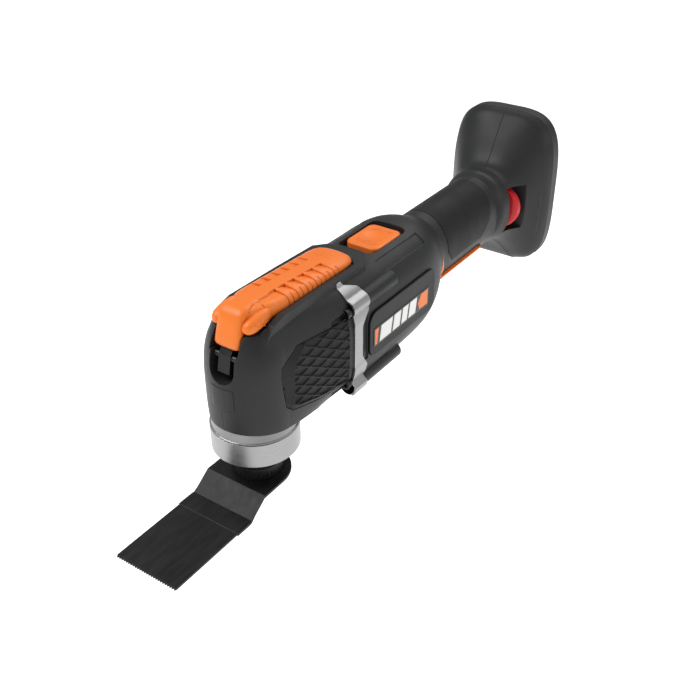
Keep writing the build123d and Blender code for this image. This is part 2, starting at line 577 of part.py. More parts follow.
# ---- controls and electrics ------------------------------------------------------------------
def build_controls():
    y_mid = (SWITCH_START + SWITCH_END) / 2
    outline = Pos(0, y_mid) * RectangleRounded(2 * SWITCH_HALF_W, SWITCH_END - SWITCH_START, 4.0)
    button = Pos(0, 0, WELL_FLOOR + GAP) * extrude(outline, SWITCH_TOP - WELL_FLOOR - GAP)
    button = fillet(button.edges().group_by(Axis.Z)[-1], 1.2)
    button -= Pos(0, y_mid, SWITCH_TOP + 20.2) * Sphere(21.2)
    for y in (-8.4, -6.6, 6.6, 8.4):
        button += box(-5.5, 5.5, y_mid + y - 0.35, y_mid + y + 0.35, SWITCH_TOP - 0.5, SWITCH_TOP + 0.25)
    button += box(-2.6, 2.6, 97, 101, 74.0, WELL_FLOOR + 1)
    write("switch_button", button)
    write("switch_link", box(-3, 3, 96.2, 132, 72.7, 74.0) + box(-1.5, 1.5, 128, 131, 63.0, 73))
    body = box(-7, 7, 119, 147, 44, 62.4) + box(-4, 4, 147, 150, 50, 56)
    write("switch_body", body - box(-1.0, 1.0, 122, 140, 61.4, 63))

    dial = rod_y(DIAL_R, DIAL_Y, DIAL_Y + DIAL_T, DIAL_X, DIAL_Z)
    for i in range(DIAL_NOTCHES):
        notch = rod_y(0.55, DIAL_Y - 1, DIAL_Y + DIAL_T + 1, DIAL_R + 0.05, 0)
        dial -= Pos(DIAL_X, 0, DIAL_Z) * Rot(Y=360 / DIAL_NOTCHES * i) * notch
    write("speed_dial", dial - rod_y(2.05, 210, 230, DIAL_X, DIAL_Z))
    pot = rod_y(2.0, DIAL_Y + 0.2, 231, DIAL_X, DIAL_Z) + rod_y(6.5, 231, 237.5, DIAL_X, DIAL_Z)
    write("dial_potentiometer", pot)

    board = box(-12, 12, 152, 202, 50, 51.6) + rod_z(5, 51.6, 66, 0, 192)
    for x in (-8, 0, 8):
        board += box(x - 3, x + 3, 158, 168, 51.6, 56)
    write("control_board", board)


def build_battery_mount():
    plate = extrude(half_section(FOOT_STATIONS[-1], WALL + 0.1), 2.5, dir=(0, 1, 0))
    plate += mirror_x(plate)
    rail = box(23.6, 29.2, 250.0, 251.8, 33, 83) + box(27.2, 29.2, 247.5, 251.8, 33, 83)
    plate += both_sides(rail)
    plate -= box(-14.1, 14.1, 230, 260, 41.9, 84.1)
    write("battery_rail_plate", plate)
    block = box(-14, 14, 238, 249.5, 42, 84)
    for x in TERMINAL_X:
        block -= box(x - 0.9, x + 0.9, 244, 250, 48, 80)
    write("battery_terminal_block", block)
    blades = [box(x - 0.5, x + 0.5, 244.5, 251.5, 54, 76) for x in TERMINAL_X]
    write("battery_terminals", Compound(children=blades))


build_housings()
build_side_trim()
build_screws()
build_lever()
build_gear_case()
build_spindle()
build_accessory()
build_motor()
build_controls()
build_battery_mount()
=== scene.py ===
import json
from math import cos, pi, radians, sin

import bmesh
import bpy
from mathutils import Matrix, Vector
from mathutils.bvhtree import BVHTree


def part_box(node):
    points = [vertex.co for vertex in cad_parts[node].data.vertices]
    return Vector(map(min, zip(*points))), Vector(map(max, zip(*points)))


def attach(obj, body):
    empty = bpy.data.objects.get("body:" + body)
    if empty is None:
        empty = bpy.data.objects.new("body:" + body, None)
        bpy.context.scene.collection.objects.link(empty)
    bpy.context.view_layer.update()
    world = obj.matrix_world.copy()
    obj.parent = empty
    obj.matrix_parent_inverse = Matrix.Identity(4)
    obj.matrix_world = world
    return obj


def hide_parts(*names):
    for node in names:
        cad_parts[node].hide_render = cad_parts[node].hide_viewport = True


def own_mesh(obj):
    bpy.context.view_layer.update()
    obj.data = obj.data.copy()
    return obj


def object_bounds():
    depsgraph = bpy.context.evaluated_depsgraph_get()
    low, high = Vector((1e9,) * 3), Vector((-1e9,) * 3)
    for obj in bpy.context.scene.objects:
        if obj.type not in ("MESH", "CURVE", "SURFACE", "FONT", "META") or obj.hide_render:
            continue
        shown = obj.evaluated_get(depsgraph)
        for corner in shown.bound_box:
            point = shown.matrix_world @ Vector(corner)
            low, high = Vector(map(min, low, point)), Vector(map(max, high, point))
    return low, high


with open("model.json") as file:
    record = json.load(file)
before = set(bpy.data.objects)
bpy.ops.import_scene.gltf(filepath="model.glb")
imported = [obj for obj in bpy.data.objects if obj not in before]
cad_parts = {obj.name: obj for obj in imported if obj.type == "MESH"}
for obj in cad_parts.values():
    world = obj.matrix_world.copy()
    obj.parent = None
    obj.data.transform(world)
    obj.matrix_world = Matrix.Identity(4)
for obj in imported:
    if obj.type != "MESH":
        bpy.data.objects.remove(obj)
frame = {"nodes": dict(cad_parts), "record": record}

CAD_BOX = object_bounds()
NODES = frame["nodes"]
MM = 0.001


# ---- camera, floor and light -----------------------------------------------------------------
def add_camera():
    """The photograph's viewpoint: 34.4 degrees round to the right, 32.9 degrees above."""
    data = bpy.data.cameras.new("camera")
    data.lens = 48.42
    data.sensor_width = 36.0
    data.clip_start = 0.01
    cam = bpy.data.objects.new("camera", data)
    cam.location = (0.23378, -0.26312, 0.29075)
    cam.rotation_euler = (radians(90 - 32.92), 0, radians(34.43))
    bpy.context.collection.objects.link(cam)
    bpy.context.scene.camera = cam


def add_light(name, kind, energy, location, target, size=None):
    data = bpy.data.lights.new(name, kind)
    data.energy = energy
    if size:
        data.shape = "RECTANGLE"
        data.size, data.size_y = size
    lamp = bpy.data.objects.new(name, data)
    lamp.location = location
    lamp.rotation_euler = (Vector(target) - Vector(location)).to_track_quat("-Z", "Y").to_euler()
    bpy.context.collection.objects.link(lamp)


def add_studio():
    centre = (0.0, 0.08, 0.05)
    add_light("key_left_top", "AREA", 5.4, (-0.42, -0.28, 0.78), centre, (0.5, 0.45))
    add_light("strip_right", "AREA", 1.25, (0.75, 0.25, 0.35), centre, (0.9, 0.3))
    add_light("front_fill", "AREA", 0.7, (0.15, -0.85, 0.25), centre, (0.8, 0.5))
    add_light("top_back", "AREA", 3.4, (0.05, 0.75, 0.8), centre, (0.9, 0.4))
    world = bpy.data.worlds.new("studio")
    world.use_nodes = True
    world.node_tree.nodes["Background"].inputs[0].default_value = (1, 1, 1, 1)
    world.node_tree.nodes["Background"].inputs[1].default_value = 0.3
    bpy.context.scene.world = world
    bpy.context.scene.view_settings.view_transform = "Standard"
    mesh = bpy.data.meshes.new("floor")
    low = CAD_BOX[0][2] - 0.16
    reach = 3.0
    mesh.from_pydata([(-reach, -reach, low), (reach, -reach, low), (reach, reach, low), (-reach, reach, low)],
                     [], [(0, 1, 2, 3)])
    floor = bpy.data.objects.new("floor", mesh)
    bpy.context.collection.objects.link(floor)
    mat = bpy.data.materials.new("floor_paper")
    mat.use_nodes = True
    shader = mat.node_tree.nodes["Principled BSDF"]
    shader.inputs["Base Color"].default_value = (0.93, 0.93, 0.93, 1)
    shader.inputs["Roughness"].default_value = 0.9
    shader.inputs["Emission Color"].default_value = (1, 1, 1, 1)
    shader.inputs["Emission Strength"].default_value = 0.72
    mesh.materials.append(mat)


# ---- materials -------------------------------------------------------------------------------
class Shade:
    """One node material, built up socket by socket."""

    def __init__(self, name):
        self.mat = bpy.data.materials.new(name)
        self.mat.use_nodes = True
        self.tree = self.mat.node_tree
        self.bsdf = self.tree.nodes["Principled BSDF"]
        self.coords = self.tree.nodes.new("ShaderNodeTexCoord").outputs["Object"]

    def set(self, **values):
        for key, value in values.items():
            self.bsdf.inputs[key.replace("_", " ")].default_value = value

    def node(self, kind, inputs=None, **settings):
        made = self.tree.nodes.new(kind)
        for key, value in settings.items():
            setattr(made, key, value)
        for key, value in (inputs or {}).items():
            if isinstance(value, bpy.types.NodeSocket):
                self.tree.links.new(value, made.inputs[key])
            else:
                made.inputs[key].default_value = value
        return made

    def noise(self, scale, detail=3.0, stretch=(1, 1, 1), distortion=0.0):
        placed = self.node("ShaderNodeMapping", {"Vector": self.coords, "Scale": stretch})
        return self.node("ShaderNodeTexNoise", {"Vector": placed.outputs[0], "Scale": scale,
                                                "Detail": detail, "Distortion": distortion}).outputs["Fac"]

    def span(self, value, low, high, start=0.3, end=0.7):
        return self.node("ShaderNodeMapRange", {"Value": value, "From Min": start, "From Max": end,
                                                "To Min": low, "To Max": high}).outputs["Result"]

    def mix(self, factor, a, b):
        made = self.node("ShaderNodeMix", {"Factor": factor}, data_type="RGBA")
        for socket, value in ((made.inputs[6], a), (made.inputs[7], b)):
            if isinstance(value, bpy.types.NodeSocket):
                self.tree.links.new(value, socket)
            else:
                socket.default_value = (*value, 1)
        return made.outputs[2]

    def edge_mask(self, radius):
        """1 along worn corners, 0 on flats."""
        rounded = self.node("ShaderNodeBevel", {"Radius": radius}, samples=6).outputs[0]
        flat = self.node("ShaderNodeNewGeometry").outputs["Normal"]
        same = self.node("ShaderNodeVectorMath", {0: rounded, 1: flat}, operation="DOT_PRODUCT")
        return self.span(same.outputs["Value"], 1.0, 0.0, 0.82, 0.99)

    def link(self, output, name):
        self.tree.links.new(output, self.bsdf.inputs[name])

    def surface(self, height, strength, distance, radius):
        """Rounded corners, then fine relief."""
        rounded = self.node("ShaderNodeBevel", {"Radius": radius}, samples=6).outputs[0]
        bump = self.node("ShaderNodeBump", {"Height": height, "Strength": strength,
                                            "Distance": distance, "Normal": rounded})
        self.link(bump.outputs[0], "Normal")


def moulded(name, dark, light, rough=(0.42, 0.52), grain=1500.0, relief=0.25, radius=0.0006,
            worn=None, coat=0.0, specular=0.32):
    """Moulded plastic or rubber: fine spark texture, faint flow marks, slightly worn corners."""
    s = Shade(name)
    flow = s.noise(22.0, 4.0, (1, 0.4, 1), 0.6)
    speck = s.noise(grain, 2.0)
    body = s.mix(s.span(flow, 0, 1), dark, light)
    body = s.mix(s.span(speck, 0.0, 0.22), body, light)
    if worn:
        body = s.mix(s.span(s.edge_mask(0.0008), 0.0, 0.55, 0, 1), body, worn)
    s.link(body, "Base Color")
    s.link(s.span(s.noise(60.0, 5.0), *rough), "Roughness")
    s.set(Coat_Weight=coat, Coat_Roughness=0.25, Specular_IOR_Level=specular)
    s.surface(speck, relief, 0.0002, radius)
    return s.mat


def metal(name, dark, light, rough=(0.28, 0.4), stretch=(1, 1, 40), grain=160.0, metallic=1.0,
          relief=0.12, worn=None, radius=0.0004):
    """Machined or coated metal with fine tool marks along one direction."""
    s = Shade(name)
    lines = s.noise(grain, 3.0, stretch)
    cloud = s.noise(30.0, 4.0)
    body = s.mix(s.span(lines, 0, 1), dark, light)
    body = s.mix(s.span(cloud, 0.0, 0.3), body, dark)
    if worn:
        body = s.mix(s.span(s.edge_mask(0.0005), 0.0, 0.7, 0, 1), body, worn)
    s.link(body, "Base Color")
    s.link(s.span(lines, *rough), "Roughness")
    s.set(Metallic=metallic)
    s.surface(lines, relief, 0.0001, radius)
    return s.mat


def winding(name):
    """Lacquered copper wire, wound in fine turns."""
    s = Shade(name)
    turns = s.node("ShaderNodeTexWave", {"Vector": s.coords, "Scale": 900.0, "Distortion": 2.0}).outputs["Fac"]
    s.link(s.mix(turns, (0.35, 0.12, 0.05), (0.75, 0.36, 0.18)), "Base Color")
    s.link(s.span(turns, 0.25, 0.45), "Roughness")
    s.set(Metallic=1.0)
    s.surface(turns, 0.4, 0.0002, 0.0003)
    return s.mat


def make_materials():
    ink = (0.012, 0.012, 0.013)
    return {
        "housing_plastic": moulded("housing_plastic", (0.0185, 0.0188, 0.0195), (0.0275, 0.028, 0.029),
                                   (0.40, 0.5), 1500.0, 0.22, worn=(0.055, 0.056, 0.059), specular=0.25),
        "panel_plastic": moulded("panel_plastic", (0.005, 0.005, 0.0054), (0.009, 0.009, 0.0096),
                                 (0.3, 0.4), 1800.0, 0.08, worn=(0.03, 0.03, 0.032), specular=0.15),
        "grip_rubber": moulded("grip_rubber", (0.011, 0.0112, 0.0118), (0.018, 0.0183, 0.0192),
                               (0.5, 0.64), 1100.0, 0.35, worn=(0.04, 0.041, 0.043), specular=0.2),
        "bright_aluminium": metal("bright_aluminium", (0.30, 0.30, 0.305), (0.38, 0.38, 0.385), (0.34, 0.44),
                                  (1, 1, 30), 180.0, worn=(0.62, 0.62, 0.63)),
        "badge_print": moulded("badge_print", ink, (0.018, 0.018, 0.019), (0.2, 0.28), 1500.0, 0.04),
        "orange_plastic": moulded("orange_plastic", (0.88, 0.185, 0.018), (0.95, 0.225, 0.026),
                                  (0.36, 0.46), 1300.0, 0.15, worn=(0.98, 0.27, 0.05), coat=0.1),
        "red_plastic": moulded("red_plastic", (0.52, 0.006, 0.012), (0.68, 0.012, 0.02), (0.34, 0.44),
                               1300.0, 0.15, coat=0.15),
        "black_metal": metal("black_metal", (0.014, 0.014, 0.015), (0.028, 0.028, 0.03), (0.38, 0.5),
                             (1, 1, 10), 240.0, 0.6, worn=(0.12, 0.12, 0.125)),
        "blade_steel": metal("blade_steel", (0.012, 0.012, 0.0125), (0.024, 0.024, 0.026), (0.42, 0.55),
                             (1, 0.15, 1), 420.0, 0.5, worn=(0.1, 0.1, 0.105)),
        "bright_steel": metal("bright_steel", (0.38, 0.38, 0.39), (0.58, 0.58, 0.6), (0.2, 0.34)),
        "dark_steel": metal("dark_steel", (0.03, 0.03, 0.032), (0.06, 0.06, 0.064), (0.32, 0.45), metallic=0.9,
                            worn=(0.2, 0.2, 0.21)),
        "magnet_black": metal("magnet_black", (0.03, 0.03, 0.03), (0.06, 0.06, 0.06), (0.5, 0.65), metallic=0.4),
        "copper": winding("copper"),
        "inner_plastic": moulded("inner_plastic", (0.02, 0.02, 0.022), (0.035, 0.035, 0.038)),
        "circuit_board": moulded("circuit_board", (0.01, 0.07, 0.03), (0.02, 0.12, 0.05), (0.25, 0.35)),
    }


def paint_nodes(materials):
    slot_of = {row["node"]: row["material_slot"] for row in frame["record"]["subparts"]}
    for name, obj in NODES.items():
        mat = materials["housing_plastic" if name == "nose_inset_plate" else slot_of[name]]
        if obj.material_slots:
            for slot in obj.material_slots:
                slot.material = mat
        else:
            obj.data.materials.append(mat)


# ---- pieces modelled here --------------------------------------------------------------------
def new_piece(name, bm, mat, body, smooth=False):
    bmesh.ops.recalc_face_normals(bm, faces=bm.faces)
    mesh = bpy.data.meshes.new(name)
    bm.to_mesh(mesh)
    bm.free()
    mesh.materials.append(mat)
    for face in mesh.polygons:
        face.use_smooth = smooth
    obj = bpy.data.objects.new(name, mesh)
    bpy.context.collection.objects.link(obj)
    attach(obj, body)
    return obj


def rounded(obj, angle):
    """Smooth shading, with edges sharper than the angle kept."""
    obj.data.set_sharp_from_angle(angle=radians(angle))
    return obj


def surface_of(node):
    """Lookup of a CAD node's surface, for laying detail on it."""
    mesh = NODES[node].data
    mesh.calc_loop_triangles()
    return BVHTree.FromPolygons([v.co for v in mesh.vertices],
                                [tuple(t.vertices) for t in mesh.loop_triangles])


def cross2(a, b, p):
    """How far p lies to the left of the line from a to b."""
    dy, dz = b[0] - a[0], b[1] - a[1]
    return (dy * (p[1] - a[1]) - dz * (p[0] - a[0])) / (dy * dy + dz * dz) ** 0.5


def depth_in(outline, p):
    """Distance from p to the nearest side of a convex outline; negative outside it."""
    return min(cross2(a, b, p) for a, b in zip(outline, outline[1:] + outline[:1]))


# Grip pad outlines as (y, z) in millimetres, anticlockwise seen from the right.
PAD_OUTER = [(-4.1, 58.1), (-2.2, 43.5), (2.3, 39.5), (19.6, 35.5), (40.4, 33.6), (40.4, 68.0),
             (7.7, 70.3), (-3.4, 64.2)]
PAD_INNER = [(2.9, 58.0), (2.4, 42.9), (4.4, 41.0), (20.0, 37.3), (40.6, 35.4), (40.6, 68.6),
             (11.4, 69.2), (4.1, 62.6)]
PAD_PROUD = 0.9
RIB_TOP, RIB_FOOT = 0.24, 0.62
ROW_SLOPE, ROW_PITCH, ROW_START = -0.56, 5.15, 38.6
TILT_SLOPE, TILT_PITCH, TILT_START = 0.345, 6.15, 28.0


def rib_distance(p, slope, pitch, start):
    """Distance from p to the nearest rib of one family, and where p lies between two ribs, 0 to 1."""
    across = (p[1] - slope * p[0] - start) / pitch
    nearest = abs(across - round(across)) * pitch / (1 + slope * slope) ** 0.5
    return nearest, across - int(across // 1)


def pad_height(p):
    inside = depth_in(PAD_INNER, p)
    if inside <= 0:
        out = max(depth_in(PAD_OUTER, p), 0.0)
        return -0.15 + (PAD_PROUD + 0.15) * out / (out - inside + 1e-6) if out else -0.15
    row, row_part = rib_distance(p, ROW_SLOPE, ROW_PITCH, ROW_START)
    tilt, tilt_part = rib_distance(p, TILT_SLOPE, TILT_PITCH, TILT_START)
    floor = -0.25 + 0.42 * row_part
    rib = max(0.0, 1 - max(0.0, min(row, tilt) - RIB_TOP) / (RIB_FOOT - RIB_TOP))
    height = floor + (0.66 - floor) * min(1.0, rib)
    edge = max(0.0, 1 - inside / 0.35)
    return height + (PAD_PROUD - height) * edge


def line_cut(bm, point, direction, clear=False):
    """Cuts the flat (y, z) mesh along a line; can drop what lies to its right."""
    normal = Vector((0, direction[1], -direction[0]))
    bmesh.ops.bisect_plane(bm, geom=bm.verts[:] + bm.edges[:] + bm.faces[:], dist=1e-6,
                           plane_co=Vector((0, *point)), plane_no=normal, clear_outer=clear)


def build_pad(side, mat):
    """Side grip pad: raised front facet and a lattice of slanted ribs."""
    bm = bmesh.new()
    bmesh.ops.create_grid(bm, x_segments=26, y_segments=22, size=0.5)
    for v in bm.verts:
        v.co = Vector((0, -6 + (v.co.x + 0.5) * 48, 32 + (v.co.y + 0.5) * 40))
    for outline, clear in ((PAD_OUTER, True), (PAD_INNER, False)):
        for a, b in zip(outline, outline[1:] + outline[:1]):
            along = Vector((b[0] - a[0], b[1] - a[1])).normalized()
            line_cut(bm, a, along, clear)
            if not clear:
                line_cut(bm, (a[0] - along[1] * 0.35, a[1] + along[0] * 0.35), along)
    for slope, pitch, start in ((ROW_SLOPE, ROW_PITCH, ROW_START), (TILT_SLOPE, TILT_PITCH, TILT_START)):
        spread = (1 + slope * slope) ** 0.5
        for i in range(-6, 14):
            for offset in (-RIB_FOOT, -RIB_TOP, RIB_TOP, RIB_FOOT):
                line_cut(bm, (0, start + pitch * i + offset * spread), (1 / spread, slope / spread))
    pad_tree = surface_of("grip_pad_right")
    outer_faces = list(bm.faces)
    base = {}
    for v in bm.verts:
        y, z = v.co.y, v.co.z
        hit = pad_tree.ray_cast(Vector((0.06, y * MM, z * MM)), Vector((-1, 0, 0)))[0]
        if hit is None:
            hit = pad_tree.find_nearest(Vector((0.026, y * MM, z * MM)))[0]
        base[v] = hit.x / MM - PAD_PROUD
        v.co.x = base[v] + pad_height((y, z))
    made = bmesh.ops.extrude_face_region(bm, geom=outer_faces)
    for v in made["geom"]:
        if isinstance(v, bmesh.types.BMVert):
            v.co.x -= 1.1
    for v in bm.verts:
        v.co = Vector((side * v.co.x, v.co.y, v.co.z)) * MM
    name = "grip_pad_right_tread" if side > 0 else "grip_pad_left_tread"
    pad = new_piece(name, bm, mat, "housing")
    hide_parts("grip_pad_right" if side > 0 else "grip_pad_left")


def flat_shape(name, outline, x0, x1, side, mat):
    """Thin printed shape on the badge, outline as (y, z) in millimetres."""
    bm = bmesh.new()
    face = bm.faces.new([bm.verts.new((side * x0 * MM, y * MM, z * MM)) for y, z in outline])
    made = bmesh.ops.extrude_face_region(bm, geom=[face])
    for v in made["geom"]:
        if isinstance(v, bmesh.types.BMVert):
            v.co.x = side * x1 * MM
    return new_piece(name, bm, mat, "housing")


def build_badge(side, orange, white):
    """Badge print: an orange block at each end and plain white shapes between them."""
    low, high = 45.5, 54.1
    lean = 1.6
    shapes = {
        "front_block": ([(59.5, low), (61.6, low), (62.8, high), (59.5, high)], orange),
        "rear_block": ([(101.2, low), (109.1, low), (109.1, high), (102.6, high), (99.4, 49.6)], orange),
    }
    for i, (y, width) in enumerate(((63.6, 10.4), (75.4, 6.6), (83.4, 5.4), (90.2, 6.8))):
        shapes[f"bar_{i}"] = ([(y, low), (y + width, low), (y + width + lean, high), (y + lean, high)], white)
    tag = "right" if side > 0 else "left"
    for key, (outline, mat) in shapes.items():
        flat_shape(f"badge_{tag}_{key}", outline, 27.10, 27.2, side, mat)


# ---- clamp lever -----------------------------------------------------------------------------
# Half section at the nose as (x, z): flat crown, sloping wing, rounded shoulder, flank.
LEVER_HALF = [(0.0, 91.4), (3.4, 91.3), (7.6, 90.5), (9.4, 89.8), (10.7, 88.8), (11.5, 87.4), (11.8, 85.8),
              (11.7, 84.4), (11.3, 83.2)]
LEVER_PLAN = [(-9.2, 5.4), (-8.4, 6.9), (-6.0, 8.3), (-2.0, 9.4), (2.0, 10.6), (6.0, 11.5), (10.0, 11.8), (58.0, 11.8),
              (61.5, 11.4), (64.2, 10.3), (65.8, 8.8), (66.5, 7.2)]
LEVER_TOP = [(-9.2, 90.6), (-6.0, 91.1), (12.0, 90.2), (60.0, 87.2), (64.4, 86.8),
             (66.0, 86.2), (66.5, 85.4)]
LEVER_SEAT = [(-9.2, 82.4), (2.0, 82.0), (5.0, 83.2), (66.5, 83.2)]
CROWN = 3.45
WEDGE_Y = [14.1 + 6.82 * i for i in range(6)]
WEDGE_OUT = 9.6


def along(table, at):
    """Value at a place in a table of (place, value) pairs, straight between them."""
    for (p0, v0), (p1, v1) in zip(table, table[1:]):
        if at <= p1:
            return v0 + (v1 - v0) * max(0.0, at - p0) / (p1 - p0)
    return table[-1][1]


def arc_table(points):
    """Arc length along a polyline, paired with its x and with its z."""
    length, xs, zs = 0.0, [], []
    for i, (x, z) in enumerate(points):
        if i:
            length += ((x - points[i - 1][0]) ** 2 + (z - points[i - 1][1]) ** 2) ** 0.5
        xs.append((length, x))
        zs.append((length, z))
    return xs, zs, length


LEVER_XS, LEVER_ZS, LEVER_ARC = arc_table(LEVER_HALF)


def lever_depth(s, y):
    """How deep the surface is cut at arc length s from the crown's middle."""
    depth = 0.0
    for i, rear in enumerate(WEDGE_Y):
        front = rear - (21.5 if i == 0 else 4.6)
        inner = CROWN + (3.0 * (rear - y) / 21.5 if i == 0 else 0.0)
        if front <= y <= rear and s >= inner:
            part = (y - front) / (rear - front)
            across = (s - inner) / (WEDGE_OUT - CROWN)
            depth = max(depth, (1.3 if i == 0 else 1.7) * max(0.0, part - across) ** 0.75)
        if rear <= y <= rear + 0.6 and s >= CROWN:
            depth = max(depth, 1.9 if s < 8 else 1.3)
        if rear + 3.3 <= y <= rear + 3.75 and s >= 9.9:
            depth = max(depth, 1.0)
    if s >= 9.0 and 1.0 <= y <= 1.5 and s < 13.0:
        depth = 1.0
    if s <= 4.0 and (55.2 <= y <= 55.75 or 58.2 <= y <= 58.75):
        depth = 0.35
    return depth


def lever_point(s, y, depth):
    side = -1 if s < 0 else 1
    s = abs(s)
    step = 0.2
    x, z = along(LEVER_XS, s), along(LEVER_ZS, s)
    dx = along(LEVER_XS, min(s + step, LEVER_ARC)) - along(LEVER_XS, max(s - step, 0))
    dz = along(LEVER_ZS, min(s + step, LEVER_ARC)) - along(LEVER_ZS, max(s - step, 0))
    norm = (dx * dx + dz * dz) ** 0.5
    x, z = x + depth * dz / norm, z - depth * dx / norm
    top, seat = along(LEVER_TOP, y), along(LEVER_SEAT, y)
    low = LEVER_HALF[-1][1]
    z = seat + (z - low) * (top - seat) / (LEVER_HALF[0][1] - low)
    return Vector((side * x * along(LEVER_PLAN, y) / 11.8, y, z)) * MM


def lever_lines():
    """Places along the lever, and arc lengths, where the relief changes."""
    ys = [p[0] for p in LEVER_PLAN + LEVER_TOP + LEVER_SEAT] + [1.0, 1.5, 55.2, 55.75, 58.2, 58.75]
    for rear in WEDGE_Y:
        ys += [rear, rear + 0.6, rear + 3.3, rear + 3.75, rear - 4.6]
    walls = [y + d for y in ys for d in (-0.03, 0.03)]
    fill = [-9.2 + 0.9 * i for i in range(85)]
    ys = sorted({round(min(max(y, -9.2), 66.5), 3) for y in walls + fill})
    arcs = [p[0] for p in LEVER_XS] + [CROWN + 0.05, 4.0, 4.05, 5.0, 6.0, 7.0, 8.0, 8.05, 9.0, 9.05, 9.86, 9.9,
                                       12.0, 13.0, 13.05, 14.0]
    arcs = sorted({round(min(a, LEVER_ARC), 3) for a in arcs})
    return ys, [-a for a in reversed(arcs) if a > 0] + arcs


def build_lever(mat):
    ys, arcs = lever_lines()
    bm = bmesh.new()
    grid = [[bm.verts.new(lever_point(s, y, lever_depth(abs(s), y))) for s in arcs] for y in ys]
    for row, above in zip(grid, grid[1:]):
        for i in range(len(arcs) - 1):
            bm.faces.new((row[i], row[i + 1], above[i + 1], above[i]))
    bmesh.ops.holes_fill(bm, edges=[e for e in bm.edges if e.is_boundary], sides=0)
    bmesh.ops.triangulate(bm, faces=[f for f in bm.faces if len(f.verts) > 4])
    lever = rounded(new_piece("lever_top", bm, mat, "clamp_lever", True), 28)
    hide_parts("clamp_lever")

    # Hook: rounded sections (y, z, half width, half thickness) down the front of the nose.
    path = [(2.0, 88.0, 3.8, 2.2), (-3.0, 88.8, 5.6, 2.3), (-7.0, 88.9, 6.6, 2.4), (-8.7, 88.4, 6.7, 2.5),
            (-9.8, 87.3, 6.6, 2.5), (-10.5, 85.6, 6.5, 2.5), (-11.2, 83.2, 6.5, 2.4), (-12.2, 80.0, 6.7, 2.3),
            (-13.1, 77.0, 6.9, 2.2), (-13.7, 75.2, 6.9, 2.0), (-14.0, 74.3, 6.4, 1.6), (-14.15, 73.75, 5.4, 1.1),
            (-14.2, 73.6, 3.8, 0.5)]
    bm = bmesh.new()
    rings = []
    for i, (y, z, half, thick) in enumerate(path):
        y0, z0 = path[max(i - 1, 0)][:2]
        y1, z1 = path[min(i + 1, len(path) - 1)][:2]
        run = ((y1 - y0) ** 2 + (z1 - z0) ** 2) ** 0.5
        ny, nz = -(z1 - z0) / run, (y1 - y0) / run
        ring = []
        for k in range(40):
            c, d = cos(2 * pi * k / 40), sin(2 * pi * k / 40)
            x = half * abs(c) ** 0.42 * (1 if c > 0 else -1)
            t = thick * abs(d) ** 0.6 * (1 if d > 0 else -1)
            ring.append(bm.verts.new(Vector((x, y + ny * t, z + nz * t)) * MM))
        rings.append(ring)
    for low, high in zip(rings, rings[1:]):
        for k in range(40):
            bm.faces.new((low[k], low[(k + 1) % 40], high[(k + 1) % 40], high[k]))
    bm.faces.new(rings[0])
    bm.faces.new(rings[-1])
    rounded(new_piece("lever_hook", bm, mat, "clamp_lever", True), 40)

    for side in (1, -1):
        tag = "right" if side > 0 else "left"
        bm = bmesh.new()
        bmesh.ops.create_uvsphere(bm, u_segments=40, v_segments=24, radius=1.0)
        for v in bm.verts:
            x, y, z = (abs(c) ** 0.75 * (1 if c > 0 else -1) for c in v.co)
            v.co = Vector((side * (8.3 + 3.5 * x), -4.0 + 8.4 * y, 84.6 + 3.5 * z + 1.1 * y)) * MM
        for k in range(11):
            angle = 2.4 * k
            reach = 0.16 * k ** 0.5 * 1.6
            y, z = -4.6 + 5.4 * reach * cos(angle), 84.5 + 2.4 * reach * sin(angle)
            bmesh.ops.create_icosphere(bm, subdivisions=2, radius=0.34 * MM,
                                       matrix=Matrix.Translation(Vector((side * 11.6, y, z)) * MM))
        rounded(new_piece(f"lever_finger_pad_{tag}", bm, mat, "clamp_lever", True), 60)


# ---- housing trim ----------------------------------------------------------------------------
def slab(name, grid, inner, mat, body):
    """Closed shell between a grid of outer points and the matching inner points."""
    bm = bmesh.new()
    layers = [[[bm.verts.new(p * MM) for p in row] for row in points] for points in (grid, inner)]
    last_i, last_j = len(grid) - 1, len(grid[0]) - 1
    for layer in layers:
        for i in range(last_i):
            for j in range(last_j):
                bm.faces.new((layer[i][j], layer[i + 1][j], layer[i + 1][j + 1], layer[i][j + 1]))
    rim = [(i, 0) for i in range(last_i)] + [(last_i, j) for j in range(last_j)]
    rim += [(i, last_j) for i in range(last_i, 0, -1)] + [(0, j) for j in range(last_j, 0, -1)]
    outer, under = layers
    for (i, j), (k, m) in zip(rim, rim[1:] + rim[:1]):
        bm.faces.new((outer[i][j], outer[k][m], under[k][m], under[i][j]))
    return rounded(new_piece(name, bm, mat, body, True), 35)


AXIS_Z = 53.0
BAND_Y = 57.5
# Rear edge of the bright band as (degrees up from level, y): wide over the screw bosses.
BAND_REAR = [(-50, 51.0), (-46, 54.0), (-31, 54.6), (-24, 52.0), (-18, 50.3), (16, 50.3), (22, 52.0),
             (29, 56.2), (46, 56.8), (52, 55.6), (62, 46.6)]


